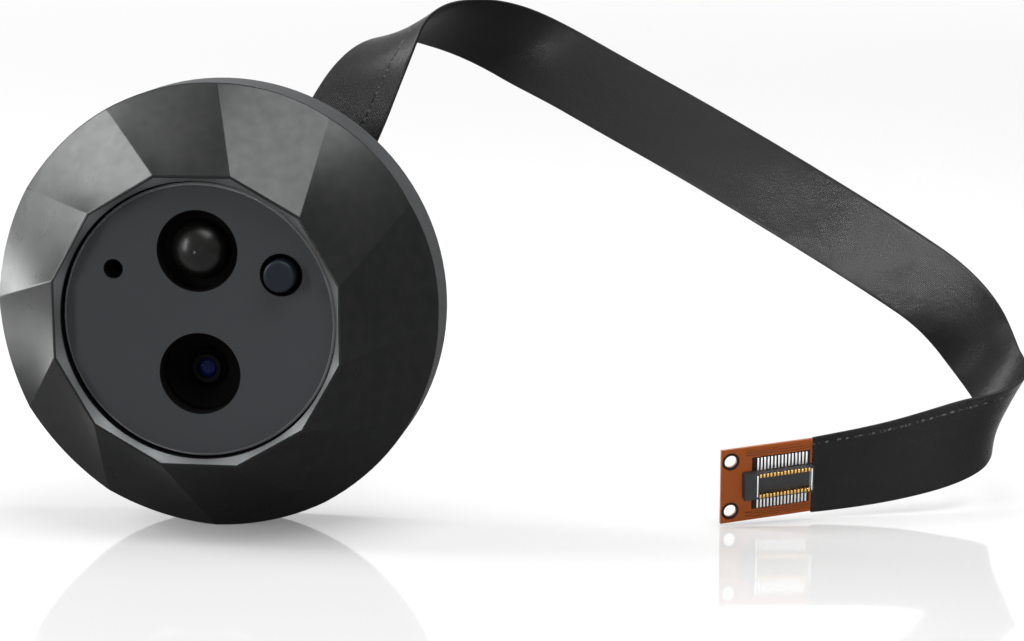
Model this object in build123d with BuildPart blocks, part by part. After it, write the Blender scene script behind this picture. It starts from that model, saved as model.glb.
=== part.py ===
"""Outdoor camera unit of a door intercom, with its flat ribbon and board plug.

The frame is the door: the origin is the centre of the spigot where it enters the door,
+Y points into the door, +Z up, and the face looks along -Y. A depth is a distance in
front of the door's surface, so a point at depth d lies at y = -d. All sizes are in mm.
"""

import os
from math import cos, pi, radians, sin, sqrt, tan

from build123d import *

os.makedirs("parts", exist_ok=True)

# Bezel: a straight rim, then twelve leaning facets up to a twelve-sided crest.
well_radius = 18.5
well_bevel = 0.24
well_drop = 0.6
crest_land = 0.3
facet_count = 12
facet_lean = 14.0
facet_run = 10.97
facet_swell = 0.5
rim_height = 7.0
door_gap = 0.6
bezel_wall = 2.0
neck_step = 1.1
slip = 0.2

# Face plate and what shows in it.
face_thickness = 2.0
face_recess = 1.1
face_gap = 0.45
face_bevel = 0.35
tape_thickness = 0.2
tape_margin = 0.4
hole_bevel = 0.15
pir_place = (0.0, 9.1)
pir_hole_radius = 5.2
camera_place = (0.0, -7.05)
camera_hole_radius = 5.25
mic_place = (-11.2, 6.55)
mic_hole_radius = 1.15
button_place = (11.0, 6.2)
button_hole_gap = 0.55

# Carrier behind the face plate.
flange_thickness = 1.2
neck_length = 2.9
carrier_recess = 0.8
post_radius = 1.8
post_length = 2.8
post_inset = 2.4
post_count = 3
ear_count = 3

# Circuit board.
board_thickness = 1.2
board_radius = 18.2
board_hole_gap = 0.15
chip_place = (-7.5, 6.5)
chip_size = 7.0
chip_height = 0.9

# Screws.
screw_clearance = 0.05
board_screw_radius = 0.8
board_screw_head = 1.6
board_screw_length = 3.2
carrier_screw_radius = 0.7
carrier_screw_head = 1.25
carrier_screw_length = 3.0
cover_screw_radius = 1.0
cover_screw_head = 1.9
cover_screw_length = 7.0
head_height = 0.8
recess_width = 0.35
recess_depth = 0.4

# Motion sensor.
dome_radius = 4.0
dome_wall = 0.6
dome_flange = 0.6
dome_sink = 2.8
can_radius = 4.1
can_rim = 0.5
can_rim_height = 0.5
can_height = 4.0
can_standoff = 0.4
can_window = (4.0, 3.0)
window_thickness = 0.5
lead_radius = 0.23
lead_hole_gap = 0.12
lead_stub = 0.4
pir_lead_circle = 2.5

# Camera module.
holder_wall = 0.8
holder_gap = 0.1
holder_cavity_height = 1.5
holder_floor = 0.4
holder_window = 4.6
barrel_radius = 3.4
nose_wall = 0.55
nose_height = 1.4
glass_radius = 1.35
glass_bulge = 0.5
glass_edge = 0.4
sensor_size = (6.4, 5.8)
sensor_gap = 0.3
sensor_height = 0.8
filter_lap = 0.4
filter_thickness = 0.3
hood_flange = 0.6
hood_lip = 0.35
hood_throat_gap = 0.3
hood_length = 2.6

# Microphone.
mic_radius = 2.9
mic_height = 2.2
boot_wall = 0.25
boot_top = 0.5
sound_radius = 0.8
mic_lead_spacing = 2.54

# Push button and its switch.
cap_radius = 2.1
cap_proud = 1.5
cap_round = 0.45
cap_flange = 0.85
cap_flange_height = 0.7
cap_travel = 0.4
stem_radius = 1.2
button_bore_gap = 0.35
seal_gap = 0.05
seal_height = 0.5
switch_size = 6.0
switch_floor = 0.8
switch_headroom = 0.3
cover_plate = 0.2
plunger_radius = 1.7
plunger_flange = 0.25
plunger_flange_height = 0.4
plunger_rise = 0.9
plunger_gap = 0.05
plunger_slip = 0.1
dome_disc_gap = 0.15
dome_disc_rise = 0.35
dome_disc_thickness = 0.1

# Rear cover, spigot and the two threaded inserts in it.
cover_inset = 0.3
cover_thickness = 2.0
boss_radius = 2.3
boss_inset = 3.7
boss_count = 3
boss_cap = 2.3
ring_section = 0.45
ring_gap = 0.05
spigot_length = 6.0
spigot_wall = 0.9
slot_side = 0.4
slot_gap = 0.32
insert_radius = 2.0
insert_bore = 1.25
insert_length = 5.0
insert_wall = 1.3
pad_inner = 13.0
pad_outer = 21.0

# Ribbon, its socket on the board, and the plug on its far end.
ribbon_width = 11.2
ribbon_thickness = 0.36
grommet_length = 4.0
grommet_slip = 0.05
socket_side = 1.3
socket_length = 5.0
socket_height = 3.0
socket_headroom = 1.3
socket_drop = 5.5
socket_slot_side = 0.3
socket_slot_gap = 0.12
ribbon_insert = 1.4
tail_bend = 1.2
tongue_tail = 3.0
tongue_width = 10.8
tongue_thickness = 0.14
stiffener_thickness = 0.3
tongue_hole_radius = 0.88
tongue_hole_spacing = 7.3
tongue_hole_inset = 1.35
plug_width = 3.8
plug_height = 1.2
plug_floor = 0.45
plug_wall = 0.45
plug_near_end = 0.35
plug_far_end = 1.9
plug_start = 0.15
contact_count = 15
contact_pitch = 0.5
contact_width = 0.24
contact_thickness = 0.15
contact_reach = 1.8
contact_slip = 0.03
contact_margin = 0.35

# The ribbon's route from the spigot to the plug, chosen by hand: each entry is a point
# of the route and the direction in which the ribbon's width lies there.
ribbon_route = [
    ((0.0, spigot_length, 0.0), (1.0, 0.0, 0.0)),
    ((0.0, 11.5, 0.0), (0.97, 0.0, -0.2)),
    ((2.5, 16.0, 5.0), (0.86, 0.05, -0.5)),
    ((8.5, 12.5, 13.5), (0.84, 0.16, -0.5)),
    ((12.5, 12.5, 21.0), (0.9, 0.0, -0.43)),
    ((17.0, 17.0, 31.0), (0.87, -0.45, -0.15)),
    ((21.5, 23.0, 36.5), (0.6, -0.68, 0.4)),
    ((30.5, 30.5, 34.8), (0.42, -0.43, 0.8)),
    ((40.5, 32.0, 30.0), (0.44, 0.22, 0.87)),
    ((50.0, 30.0, 25.0), (0.52, 0.23, 0.82)),
    ((61.5, 28.5, 19.0), (0.52, 0.23, 0.82)),
    ((75.5, 27.5, 11.0), (0.52, 0.2, 0.83)),
    ((88.5, 27.0, 3.2), (0.53, 0.1, 0.84)),
    ((98.8, 27.0, -3.6), (0.68, -0.28, 0.68)),
    ((104.3, 26.5, -12.5), (0.7, -0.52, 0.48)),
    ((106.8, 21.5, -15.8), (0.42, -0.72, 0.55)),
    ((105.0, 15.5, -18.0), (0.1, -0.4, 0.91)),
    ((98.0, 12.0, -20.8), (-0.22, 0.05, 0.97)),
    ((87.5, 8.0, -23.0), (-0.05, -0.05, 1.0)),
    ((79.2, 4.5, -23.6), (0.02, -0.18, 0.98)),
]
ribbon_spans = 6
span_sections = 12
run_share = 0.45

# Depths of the stack, from the door's surface out to the bezel's crest.
rim_depth = door_gap + rim_height
cover_depth = door_gap + cover_inset
cover_front = cover_depth + cover_thickness
board_depth = cover_front + socket_headroom + socket_height
board_front = board_depth + board_thickness
flange_depth = board_front + post_length
flange_seat = flange_depth + flange_thickness
face_back = flange_seat + neck_length
carrier_front = face_back - tape_thickness
recess_floor = carrier_front - carrier_recess
face_front = face_back + face_thickness
well_depth = face_front + face_recess
crest_depth = well_depth + well_drop
facet_rise = crest_depth - rim_depth

# Radii that follow from the sizes above.
crest_flat = well_radius + well_bevel
crest_inner_radius = crest_flat / cos(pi / facet_count)
crest_radius = crest_inner_radius + crest_land
rim_radius = crest_radius * cos(pi / facet_count) + facet_run
facet_slope = facet_run / facet_rise
wall_across = bezel_wall * sqrt(1 + facet_slope**2)
bore_radius = rim_radius - bezel_wall
bore_depth = rim_depth - (wall_across - bezel_wall) / facet_slope
neck_radius = well_radius + neck_step
face_radius = well_radius - face_gap
button_hole_radius = cap_radius + button_hole_gap
base = (Align.CENTER, Align.CENTER, Align.MIN)


def at(depth):
    """A sketch plane that faces out of the door, at this depth."""
    return Plane.XZ.offset(depth)


def cavity_radius(depth):
    """Inner radius of the bezel's sloping wall at this depth."""
    return rim_radius - wall_across - facet_slope * (depth - rim_depth)


def turned(points):
    """A closed outline of (radius, depth) points, for a revolve about the unit's axis."""
    with BuildSketch(Plane.XY) as outline:
        with BuildLine():
            Polyline([(radius, -depth) for radius, depth in points], close=True)
        make_face()
    return outline.sketch


def crest_polygon(radius, depth):
    """A twelve-sided outline with this corner radius."""
    with BuildSketch(at(depth)) as outline:
        RegularPolygon(radius, facet_count, rotation=180 / facet_count)
    return outline.sketch


def split_circle(radius, depth, turn):
    """A round face in twelve arcs, whose joints are turned from the crest's corners."""
    step = 360 / facet_count
    starts = [step * (arc + 0.5) + turn for arc in range(facet_count)]
    arcs = [Edge.make_circle(radius, at(depth), start, start + step) for start in starts]
    return Face(Wire(arcs))


def bowed_polygon(corner_radius, side_radius, depth, turn):
    """A face with twelve bowed sides, from the radius at its corners and halfway along a side."""
    half_step = 180 / facet_count
    plane = at(depth)
    points = []
    for half in range(2 * facet_count + 1):
        angle = radians(half_step * (half + 1) + turn)
        radius = side_radius if half % 2 else corner_radius
        points.append(plane.from_local_coords((radius * cos(angle), radius * sin(angle), 0)))
    sides = zip(points[0:-2:2], points[1:-1:2], points[2::2])
    return Face(Wire([Edge.make_three_point_arc(*side) for side in sides]))


def ring_of(radius, count, start):
    """Places evenly round a circle, seen from the front."""
    angles = [radians(start + 360 * step / count) for step in range(count)]
    return [(radius * cos(angle), radius * sin(angle)) for angle in angles]


slot_width = ribbon_width + 2 * slot_side
slot_height = ribbon_thickness + 2 * slot_gap
insert_offset = slot_height / 2 + insert_wall + insert_radius
spigot_radius = max(slot_width / 2, insert_offset + insert_radius) + spigot_wall
ear_places = ring_of((neck_radius + cavity_radius(flange_seat)) / 2, ear_count, 30)
post_places = ring_of(board_radius - post_inset, post_count, 0)
boss_places = ring_of(bore_radius - boss_inset, boss_count, 90)
insert_places = [(0, insert_offset), (0, -insert_offset)]


def screw_stack(places, seat, radius, head_radius, length, sunk):
    """Cross-recessed screws: the head lies behind the seat depth, or sunk in front of it."""
    head_bottom = seat if sunk else seat - head_height
    for x, z in places:
        with Locations((x, z, head_bottom)):
            if sunk:
                Cone(head_radius, radius, head_height, align=base)
            else:
                Cylinder(head_radius, head_height, align=base)
        with Locations((x, z, head_bottom + head_height)):
            Cylinder(radius, length, align=base)
        with Locations((x, z, head_bottom)):
            for width, height in ((head_radius, recess_width), (recess_width, head_radius)):
                Box(width, height, recess_depth, align=base, mode=Mode.SUBTRACT)


# Bezel shell with its screw bosses.
with BuildPart(Plane.XZ) as bezel:
    loft(
        [
            bowed_polygon(rim_radius + facet_swell, rim_radius, rim_depth, facet_lean),
            crest_polygon(crest_radius, crest_depth),
        ],
        ruled=True,
    )
    with BuildSketch(at(rim_depth)):
        Circle(rim_radius)
    extrude(amount=facet_rise, mode=Mode.INTERSECT)
    with BuildSketch(at(door_gap)):
        Circle(rim_radius)
    extrude(amount=rim_height)
    loft(
        [
            split_circle(well_radius, well_depth, 0),
            crest_polygon(crest_inner_radius, crest_depth),
        ],
        ruled=True,
        mode=Mode.SUBTRACT,
    )
    cavity = [
        (0, door_gap),
        (bore_radius, door_gap),
        (bore_radius, bore_depth),
        (cavity_radius(flange_seat), flange_seat),
        (neck_radius, flange_seat),
        (neck_radius, face_back),
        (well_radius, face_back),
        (well_radius, well_depth),
        (0, well_depth),
    ]
    revolve(turned(cavity), axis=Axis.Y, mode=Mode.SUBTRACT)
    with BuildSketch(at(cover_front)):
        with Locations(boss_places):
            Circle(boss_radius)
    extrude(amount=cover_screw_length + boss_cap - (cover_front - cover_depth - head_height))
    with BuildSketch(at(cover_front)):
        with Locations(boss_places):
            Circle(cover_screw_radius + screw_clearance)
    extrude(amount=cover_screw_length, mode=Mode.SUBTRACT)
    with BuildSketch(at(flange_seat)):
        with Locations(ear_places):
            Circle(carrier_screw_radius + screw_clearance)
    extrude(amount=carrier_screw_length - flange_thickness, mode=Mode.SUBTRACT)
bezel.part.label = "bezel"
export_step(bezel.part, "parts/bezel.step")


# Face plate with its four openings.
with BuildPart(Plane.XZ) as face_plate:
    with BuildSketch(at(face_back)):
        Circle(face_radius)
    extrude(amount=face_thickness)
    chamfer(face_plate.edges().filter_by(GeomType.CIRCLE).sort_by(Axis.Y)[0], face_bevel)
    with BuildSketch(at(face_back)):
        with Locations(pir_place):
            Circle(pir_hole_radius)
        with Locations(camera_place):
            Circle(camera_hole_radius)
        with Locations(mic_place):
            Circle(mic_hole_radius)
        with Locations(button_place):
            Circle(button_hole_radius)
    extrude(amount=face_thickness, mode=Mode.SUBTRACT)
    front_edges = face_plate.edges().filter_by(GeomType.CIRCLE).group_by(Axis.Y)[0]
    chamfer(front_edges.sort_by(SortBy.RADIUS)[0:4], hole_bevel)
face_plate.part.label = "face_plate"
export_step(face_plate.part, "parts/face_plate.step")


# Double-sided tape that holds the face plate to the carrier.
with BuildPart(Plane.XZ) as face_tape:
    with BuildSketch(at(carrier_front)):
        Circle(face_radius - tape_margin)
        for place, radius in (
            (pir_place, pir_hole_radius),
            (camera_place, camera_hole_radius),
            (mic_place, mic_hole_radius),
            (button_place, button_hole_radius),
        ):
            with Locations(place):
                Circle(radius + tape_margin, mode=Mode.SUBTRACT)
    extrude(amount=tape_thickness)
face_tape.part.label = "face_tape"
export_step(face_tape.part, "parts/face_tape.step")


# Carrier: the moulded plate that everything behind the face is set in.
pir_seat_radius = pir_hole_radius + dome_flange
hood_radius = camera_hole_radius + hood_flange
boot_radius = mic_radius + boot_wall
cap_bore = cap_radius + button_bore_gap
cap_flange_radius = cap_radius + cap_flange
button_pocket = cap_flange_radius + slip
with BuildPart(Plane.XZ) as carrier:
    with BuildSketch(at(flange_depth)):
        Circle(cavity_radius(flange_seat) - slip)
    extrude(amount=flange_thickness)
    with BuildSketch(at(flange_seat)):
        Circle(neck_radius - slip)
    extrude(amount=carrier_front - flange_seat)
    with BuildSketch(at(board_front)):
        with Locations(post_places):
            Circle(post_radius)
    extrude(amount=flange_depth - board_front)
    with BuildSketch(at(board_front)):
        with Locations(post_places):
            Circle(board_screw_radius + screw_clearance)
    extrude(amount=board_screw_length, mode=Mode.SUBTRACT)
    with BuildSketch(at(flange_depth)):
        with Locations(ear_places):
            Circle(carrier_screw_radius + screw_clearance)
        with Locations(pir_place):
            Circle(can_radius + can_rim + slip)
        with Locations(camera_place):
            Circle(hood_radius + slip / 2)
        with Locations(mic_place):
            Circle(sound_radius)
        with Locations(button_place):
            Circle(cap_bore)
    extrude(amount=carrier_front - flange_depth, mode=Mode.SUBTRACT)
    with BuildSketch(at(recess_floor)):
        with Locations(pir_place):
            Circle(pir_seat_radius + slip / 2)
    extrude(amount=carrier_recess, mode=Mode.SUBTRACT)
    with BuildSketch(at(flange_depth)):
        with Locations(mic_place):
            Circle(boot_radius)
        with Locations(button_place):
            Circle(button_pocket)
    extrude(amount=recess_floor - flange_depth, mode=Mode.SUBTRACT)
carrier.part.label = "carrier"
export_step(carrier.part, "parts/carrier.step")


with BuildPart(Plane.XZ) as carrier_screws:
    screw_stack(
        ear_places, flange_depth, carrier_screw_radius, carrier_screw_head,
        carrier_screw_length, False,
    )
carrier_screws.part.label = "carrier_screws"
export_step(carrier_screws.part, "parts/carrier_screws.step")


# Motion sensor: the moulded dome, the metal can behind it and the can's window.
dome_centre = face_front - dome_sink
with BuildPart(Plane.XZ) as pir_lens:
    with Locations((*pir_place, dome_centre)):
        Sphere(dome_radius)
        Sphere(dome_radius - dome_wall, mode=Mode.SUBTRACT)
    with Locations((*pir_place, recess_floor)):
        Cylinder(
            dome_radius * 2, dome_radius * 3, mode=Mode.SUBTRACT,
            align=(Align.CENTER, Align.CENTER, Align.MAX),
        )
        Cylinder(pir_seat_radius, carrier_recess, align=base)
        Cylinder(dome_radius - dome_wall, carrier_recess, align=base, mode=Mode.SUBTRACT)
pir_lens.part.label = "pir_lens"
export_step(pir_lens.part, "parts/pir_lens.step")

can_bottom = board_front + can_standoff
can_top = can_bottom + can_height
lead_end = board_depth - lead_stub
lead_circle = ring_of(pir_lead_circle, 4, 0)[0:3]
pir_leads = [(pir_place[0] + x, pir_place[1] + z) for x, z in lead_circle]
with BuildPart(Plane.XZ) as pir_sensor:
    with Locations((*pir_place, can_bottom)):
        Cylinder(can_radius + can_rim, can_rim_height, align=base)
        Cylinder(can_radius, can_height, align=base)
    with Locations((*pir_place, can_top - window_thickness)):
        Box(*can_window, window_thickness, align=base, mode=Mode.SUBTRACT)
    for x, z in pir_leads:
        with Locations((x, z, lead_end)):
            Cylinder(lead_radius, can_bottom - lead_end, align=base)
pir_sensor.part.label = "pir_sensor"
export_step(pir_sensor.part, "parts/pir_sensor.step")

with BuildPart(Plane.XZ) as pir_window:
    with Locations((*pir_place, can_top - window_thickness)):
        Box(*can_window, window_thickness, align=base)
pir_window.part.label = "pir_window"
export_step(pir_window.part, "parts/pir_window.step")


# Camera module, from the image sensor on the board to the hood round the lens.
holder_front = flange_depth - holder_gap
holder_cavity = sensor_size[0] + 2 * sensor_gap
holder_size = holder_cavity + 2 * holder_wall
filter_size = holder_window + 2 * filter_lap
cavity_top = board_front + holder_cavity_height
barrel_back = cavity_top + holder_floor
barrel_front = carrier_front - hood_length - holder_gap
nose_radius = glass_radius + nose_wall
nose_front = barrel_front + nose_height
with BuildPart(Plane.XZ) as image_sensor:
    with Locations((*camera_place, board_front)):
        Box(*sensor_size, sensor_height, align=base)
image_sensor.part.label = "image_sensor"
export_step(image_sensor.part, "parts/image_sensor.step")

with BuildPart(Plane.XZ) as ir_filter:
    with Locations((*camera_place, cavity_top - filter_thickness)):
        Box(filter_size, filter_size, filter_thickness, align=base)
ir_filter.part.label = "ir_filter"
export_step(ir_filter.part, "parts/ir_filter.step")

with BuildPart(Plane.XZ) as lens_holder:
    with Locations((*camera_place, board_front)):
        Box(holder_size, holder_size, holder_front - board_front, align=base)
        Box(holder_cavity, holder_cavity, holder_cavity_height, align=base, mode=Mode.SUBTRACT)
    with Locations((*camera_place, cavity_top)):
        Box(holder_window, holder_window, holder_floor, align=base, mode=Mode.SUBTRACT)
    with Locations((*camera_place, barrel_back)):
        Cylinder(
            barrel_radius + screw_clearance, holder_front - barrel_back, align=base,
            mode=Mode.SUBTRACT,
        )
lens_holder.part.label = "lens_holder"
export_step(lens_holder.part, "parts/lens_holder.step")

with BuildPart(Plane.XZ) as lens_barrel:
    with Locations((*camera_place, barrel_back)):
        Cylinder(barrel_radius, barrel_front - barrel_back, align=base)
    with Locations((*camera_place, barrel_front)):
        Cylinder(nose_radius, nose_height, align=base)
    with Locations((*camera_place, barrel_back)):
        Cylinder(glass_radius, nose_front - barrel_back, align=base, mode=Mode.SUBTRACT)
lens_barrel.part.label = "lens_barrel"
export_step(lens_barrel.part, "parts/lens_barrel.step")

# The front lens: a thick rim and a dome of glass that bulges to the nose's front.
bulge_radius = (glass_radius**2 + glass_bulge**2) / (2 * glass_bulge)
glass_back = nose_front - glass_bulge - glass_edge
with BuildPart(Plane.XZ) as lens_glass:
    with Locations((*camera_place, nose_front - bulge_radius)):
        Sphere(bulge_radius)
    with Locations((*camera_place, glass_back)):
        Cylinder(glass_radius, glass_bulge + glass_edge, align=base, mode=Mode.INTERSECT)
lens_glass.part.label = "lens_glass"
export_step(lens_glass.part, "parts/lens_glass.step")

with BuildPart(Plane.XZ) as lens_hood:
    with Locations((*camera_place, carrier_front - hood_length)):
        Cylinder(hood_radius, hood_length, align=base)
        Cone(
            nose_radius + hood_throat_gap, camera_hole_radius - hood_lip, hood_length,
            align=base, mode=Mode.SUBTRACT,
        )
lens_hood.part.label = "lens_hood"
export_step(lens_hood.part, "parts/lens_hood.step")


# Microphone capsule in its rubber boot.
capsule_back = recess_floor - boot_top - mic_height
mic_leads = [(mic_place[0], mic_place[1] + side * mic_lead_spacing / 2) for side in (-1, 1)]
with BuildPart(Plane.XZ) as microphone:
    with Locations((*mic_place, capsule_back)):
        Cylinder(mic_radius, mic_height, align=base)
    for x, z in mic_leads:
        with Locations((x, z, lead_end)):
            Cylinder(lead_radius, capsule_back - lead_end, align=base)
microphone.part.label = "microphone"
export_step(microphone.part, "parts/microphone.step")

with BuildPart(Plane.XZ) as microphone_boot:
    with Locations((*mic_place, capsule_back)):
        Cylinder(boot_radius, mic_height + boot_top, align=base)
        Cylinder(mic_radius, mic_height, align=base, mode=Mode.SUBTRACT)
    with Locations((*mic_place, recess_floor - boot_top)):
        Cylinder(sound_radius, boot_top, align=base, mode=Mode.SUBTRACT)
microphone_boot.part.label = "microphone_boot"
export_step(microphone_boot.part, "parts/microphone_boot.step")


# Tact switch on the board, under the button.
disc_height = dome_disc_rise + dome_disc_thickness
plunger_back = board_front + switch_floor + disc_height + cap_travel + plunger_gap
switch_front = plunger_back + plunger_flange_height + switch_headroom
plunger_front = switch_front + cover_plate + plunger_rise
switch_cavity = plunger_radius + plunger_flange + plunger_slip
disc_radius = switch_cavity - dome_disc_gap
with BuildPart(Plane.XZ) as switch_body:
    with Locations((*button_place, board_front)):
        Box(switch_size, switch_size, switch_front - board_front, align=base)
    with Locations((*button_place, board_front + switch_floor)):
        Cylinder(switch_cavity, switch_front - board_front, align=base, mode=Mode.SUBTRACT)
switch_body.part.label = "switch_body"
export_step(switch_body.part, "parts/switch_body.step")

with BuildPart(Plane.XZ) as switch_cover:
    with Locations((*button_place, switch_front)):
        Box(switch_size, switch_size, cover_plate, align=base)
        Cylinder(plunger_radius + plunger_slip, cover_plate, align=base, mode=Mode.SUBTRACT)
switch_cover.part.label = "switch_cover"
export_step(switch_cover.part, "parts/switch_cover.step")

# The snap dome is a shallow cap of spring steel on the switch's floor.
disc_outer = (disc_radius**2 + dome_disc_rise**2) / (2 * dome_disc_rise)
disc_centre = board_front + switch_floor + disc_height - disc_outer
with BuildPart(Plane.XZ) as switch_dome:
    with Locations((*button_place, disc_centre)):
        Sphere(disc_outer)
        Sphere(disc_outer - dome_disc_thickness, mode=Mode.SUBTRACT)
    with Locations((*button_place, board_front + switch_floor)):
        Cylinder(disc_radius, disc_height, align=base, mode=Mode.INTERSECT)
switch_dome.part.label = "switch_dome"
export_step(switch_dome.part, "parts/switch_dome.step")

with BuildPart(Plane.XZ) as switch_plunger:
    with Locations((*button_place, plunger_back)):
        Cylinder(plunger_radius + plunger_flange, plunger_flange_height, align=base)
        Cylinder(plunger_radius, plunger_front - plunger_back, align=base)
switch_plunger.part.label = "switch_plunger"
export_step(switch_plunger.part, "parts/switch_plunger.step")


# Push button: a round cap whose flange stops behind the carrier's front wall.
cap_front = face_front + cap_proud
seal_back = recess_floor - seal_height
cap_flange_front = seal_back - seal_gap
cap_flange_back = cap_flange_front - cap_flange_height
stem_end = plunger_front + plunger_gap
with BuildPart(Plane.XZ) as button_cap:
    with Locations((*button_place, cap_flange_back)):
        Cylinder(cap_radius, cap_front - cap_flange_back, align=base)
        Cylinder(cap_flange_radius, cap_flange_height, align=base)
    with Locations((*button_place, stem_end)):
        Cylinder(stem_radius, cap_flange_back - stem_end, align=base)
    fillet(button_cap.edges().sort_by(Axis.Y)[0], cap_round)
button_cap.part.label = "button_cap"
export_step(button_cap.part, "parts/button_cap.step")

with BuildPart(Plane.XZ) as button_seal:
    with Locations((*button_place, seal_back)):
        Cylinder(button_pocket, seal_height, align=base)
        Cylinder(cap_radius + seal_gap, seal_height, align=base, mode=Mode.SUBTRACT)
button_seal.part.label = "button_seal"
export_step(button_seal.part, "parts/button_seal.step")


# Circuit board with its lead and screw holes, the chip and the ribbon's socket.
with BuildPart(Plane.XZ) as main_board:
    with BuildSketch(at(board_depth)):
        Circle(board_radius)
        with Locations(post_places):
            Circle(board_screw_radius + board_hole_gap, mode=Mode.SUBTRACT)
        with Locations(pir_leads + mic_leads):
            Circle(lead_radius + lead_hole_gap, mode=Mode.SUBTRACT)
    extrude(amount=board_thickness)
main_board.part.label = "main_board"
export_step(main_board.part, "parts/main_board.step")

with BuildPart(Plane.XZ) as board_screws:
    screw_stack(
        post_places, board_depth, board_screw_radius, board_screw_head,
        board_thickness + board_screw_length - head_height, False,
    )
board_screws.part.label = "board_screws"
export_step(board_screws.part, "parts/board_screws.step")

with BuildPart(Plane.XZ) as processor_chip:
    with Locations((*chip_place, board_depth - chip_height)):
        Box(chip_size, chip_size, chip_height, align=base)
processor_chip.part.label = "processor_chip"
export_step(processor_chip.part, "parts/processor_chip.step")

socket_top = -socket_drop
slot_depth = board_depth - socket_height / 2
with BuildPart(Plane.XZ) as ribbon_socket:
    with Locations((0, socket_top - socket_length / 2, board_depth - socket_height)):
        Box(ribbon_width + 2 * socket_side, socket_length, socket_height, align=base)
    with Locations((0, socket_top, slot_depth)):
        Box(
            ribbon_width + 2 * socket_slot_side, 2 * (ribbon_insert + slip),
            ribbon_thickness + 2 * socket_slot_gap, mode=Mode.SUBTRACT,
        )
ribbon_socket.part.label = "ribbon_socket"
export_step(ribbon_socket.part, "parts/ribbon_socket.step")


# Rear cover with the spigot that enters the door.
groove_middle = (cover_depth + cover_front) / 2
groove_back = groove_middle - ring_section - ring_gap
groove_front = groove_middle + ring_section + ring_gap
groove_radius = bore_radius - 2 * (ring_section + ring_gap)
with BuildPart(Plane.XZ) as rear_cover:
    with BuildSketch(at(cover_depth)):
        Circle(bore_radius - slip)
    extrude(amount=cover_thickness)
    with BuildSketch(at(-spigot_length)):
        Circle(spigot_radius)
    extrude(amount=spigot_length + cover_depth)
    groove = [
        (groove_radius, groove_back),
        (bore_radius, groove_back),
        (bore_radius, groove_front),
        (groove_radius, groove_front),
    ]
    revolve(turned(groove), axis=Axis.Y, mode=Mode.SUBTRACT)
    with BuildSketch(at(-spigot_length)):
        Rectangle(slot_width, slot_height)
    extrude(amount=spigot_length + cover_front, mode=Mode.SUBTRACT)
    with BuildSketch(at(-spigot_length)):
        with Locations(insert_places):
            Circle(insert_radius)
    extrude(amount=insert_length, mode=Mode.SUBTRACT)
    for x, z in boss_places:
        with Locations((x, z, cover_depth)):
            Cylinder(
                cover_screw_radius + screw_clearance, cover_thickness, align=base,
                mode=Mode.SUBTRACT,
            )
            Cone(
                cover_screw_head + screw_clearance, cover_screw_radius + screw_clearance,
                head_height, align=base, mode=Mode.SUBTRACT,
            )
rear_cover.part.label = "rear_cover"
export_step(rear_cover.part, "parts/rear_cover.step")

with BuildPart(Plane.XZ) as cover_screws:
    screw_stack(
        boss_places, cover_depth, cover_screw_radius, cover_screw_head,
        cover_screw_length, True,
    )
cover_screws.part.label = "cover_screws"
export_step(cover_screws.part, "parts/cover_screws.step")

with BuildPart(Plane.XZ) as cover_seal:
    with Locations((0, 0, groove_middle)):
        Torus(bore_radius - ring_gap - ring_section, ring_section)
cover_seal.part.label = "cover_seal"
export_step(cover_seal.part, "parts/cover_seal.step")

with BuildPart(Plane.XZ) as thread_inserts:
    for x, z in insert_places:
        with Locations((x, z, -spigot_length)):
            Cylinder(insert_radius, insert_length, align=base)
            Cylinder(insert_bore, insert_length, align=base, mode=Mode.SUBTRACT)
thread_inserts.part.label = "thread_inserts"
export_step(thread_inserts.part, "parts/thread_inserts.step")

with BuildPart(Plane.XZ) as door_pad:
    with BuildSketch(at(0)):
        Circle(pad_outer)
        Circle(pad_inner, mode=Mode.SUBTRACT)
    extrude(amount=cover_depth)
door_pad.part.label = "door_pad"
export_step(door_pad.part, "parts/door_pad.step")


# Grommet that seals the slot round the ribbon, where the ribbon leaves the spigot.
with BuildPart(Plane.XZ) as ribbon_grommet:
    with BuildSketch(at(-spigot_length)):
        Rectangle(slot_width, slot_height)
        Rectangle(
            ribbon_width + grommet_slip, ribbon_thickness + grommet_slip, mode=Mode.SUBTRACT,
        )
    extrude(amount=grommet_length)
ribbon_grommet.part.label = "ribbon_grommet"
export_step(ribbon_grommet.part, "parts/ribbon_grommet.step")

# The ribbon's tail inside the unit: through the spigot, then down into the socket.
with BuildPart() as ribbon_tail:
    with BuildLine(Plane.YZ):
        FilletPolyline(
            (spigot_length, 0), (-slot_depth, 0), (-slot_depth, socket_top - ribbon_insert),
            radius=tail_bend,
        )
    with BuildSketch(at(-spigot_length)):
        Rectangle(ribbon_width, ribbon_thickness)
    sweep()
ribbon_tail.part.label = "ribbon_tail"
export_step(ribbon_tail.part, "parts/ribbon_tail.step")


# The ribbon outside: straight runs joined by arcs, with a flat section turned along it.
route_points = [Vector(*place) for place, _ in ribbon_route]
route_widths = [Vector(*across) for _, across in ribbon_route]
route_radii = []
for before, corner, after in zip(route_points, route_points[1:], route_points[2:]):
    first_run = corner - before
    second_run = after - corner
    half_turn = radians(first_run.get_angle(second_run)) / 2
    shorter = min(first_run.length, second_run.length)
    route_radii.append(run_share * shorter / tan(half_turn))
print("ribbon bend radii", [round(radius, 1) for radius in route_radii])

with BuildLine() as ribbon_path:
    FilletPolyline(*route_points, radius=route_radii)
path_wire = ribbon_path.wire()
corner_distances = [0.0]
travelled = 0.0
for edge in path_wire.order_edges():
    if edge.geom_type == GeomType.CIRCLE:
        corner_distances.append(travelled + edge.length / 2)
    travelled += edge.length
corner_distances.append(travelled)


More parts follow.
